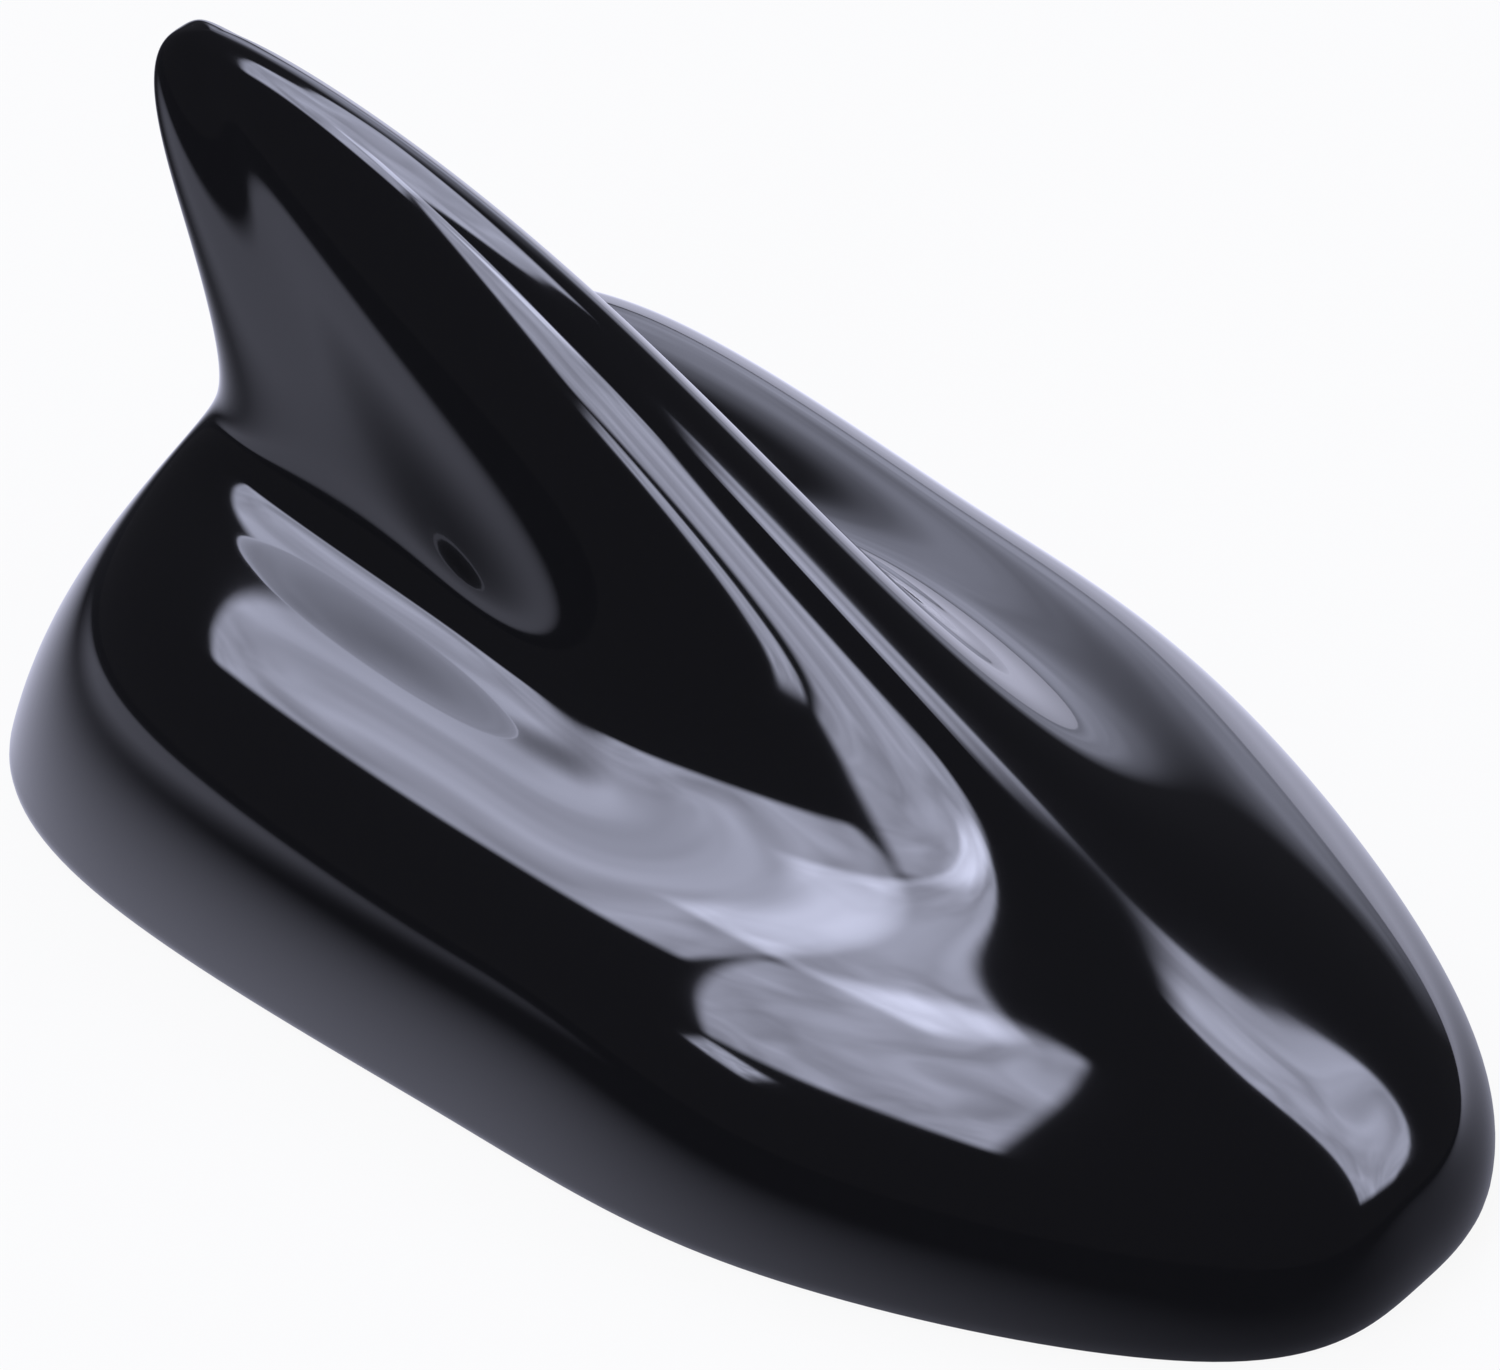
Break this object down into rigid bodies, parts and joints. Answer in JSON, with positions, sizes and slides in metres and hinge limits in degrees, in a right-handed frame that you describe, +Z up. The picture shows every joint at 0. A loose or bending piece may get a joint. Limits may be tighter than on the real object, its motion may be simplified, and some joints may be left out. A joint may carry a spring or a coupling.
{
  "type": "car roof antenna",
  "caption": "Shark-fin car roof antenna: a gloss black moulded cover with a swept fin on a screwed base plate with a foam pad and a lead grommet, and the receiving parts inside.",
  "frame": {"origin": "on the roof surface at the underside of the foam pad, at the middle of the base's length and width", "axes": "+X to the nose (front of the car), +Y to the left, +Z up from the roof"},
  "size_m": [0.1604, 0.0912, 0.0705],
  "materials": {
    "cover": "gloss black moulded ABS",
    "base": "satin black moulded ABS",
    "seal": "matt silicone rubber",
    "foam": "closed-cell acrylic foam tape",
    "grommet": "matt moulded rubber",
    "board": "green solder mask on glass-fibre laminate",
    "radiator": "stamped brass sheet",
    "can": "tinned steel sheet",
    "chip": "moulded epoxy",
    "resistor": "glazed ceramic",
    "ferrite": "sintered ferrite",
    "winding": "enamelled copper wire",
    "capacitor": "drawn aluminium can",
    "socket": "turned and plated brass",
    "screw": "zinc-plated steel"
  },
  "bodies": {
    "root": {"fin_cover": "cover", "base_plate": "base", "cover_seal": "seal", "roof_pad": "foam", "cable_grommet": "grommet", "circuit_board": "board", "radiator_plate": "radiator", "shield_can": "can", "amplifier_chip": "chip", "chip_resistors": "resistor", "choke_core": "ferrite", "choke_winding": "winding", "capacitors": "capacitor", "lead_socket": "socket", "cover_screws": "screw", "board_screws": "screw"}
  },
  "joints": []
}
